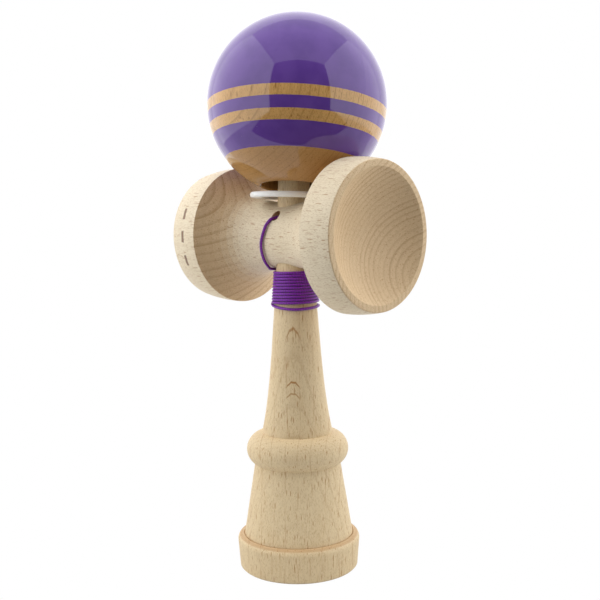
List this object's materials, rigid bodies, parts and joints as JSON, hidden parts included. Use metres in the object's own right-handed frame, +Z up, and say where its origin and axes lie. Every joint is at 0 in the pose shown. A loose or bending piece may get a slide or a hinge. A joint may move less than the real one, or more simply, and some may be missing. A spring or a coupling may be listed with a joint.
{
  "type": "kendama",
  "caption": "Wooden skill toy: turned handle with spike and foot cup, cross piece with a big and a small cup, and a painted, drilled ball on a wound string.",
  "frame": {"origin": "middle of the handle's foot, on the surface that it stands on", "axes": "+Z up along the handle, +X out of the big cup, -Y towards the side that the string comes out of"},
  "size_m": [0.0751, 0.06, 0.1882],
  "materials": {
    "beech": "sanded, unlacquered",
    "purple_lacquer": "gloss lacquer with bare stripes",
    "white_plastic": "satin",
    "string": "braided, glossy"
  },
  "bodies": {
    "ken": {"ken_handle": "beech", "cross_piece": "beech", "string_anchor_knot": "string", "string_lead": "string", "string_winding": "string", "string_run": "string"},
    "bead": {"tama_bead": "beech", "string_tail": "string", "string_bead_knot": "string"},
    "tama": {"tama_ball": "purple_lacquer"},
    "spacer": {"spacer_ring": "white_plastic"}
  },
  "joints": [
    {"name": "tama_lift", "type": "slide", "parent": "ken", "child": "bead", "axis": [0, 0, 1], "range_m": [0, 0.045], "deforming": ["string_run"]},
    {"name": "tama_spin", "type": "hinge", "parent": "bead", "child": "tama", "pos_m": [0.0011, 0.0009, 0.15712], "axis": [-0.0706, 0.1547, 0.9854], "continuous": true},
    {"name": "spacer_spin", "type": "hinge", "parent": "ken", "child": "spacer", "pos_m": [0, -0.0031, 0.12708], "axis": [0, 0.0436, 0.999], "continuous": true}
  ]
}
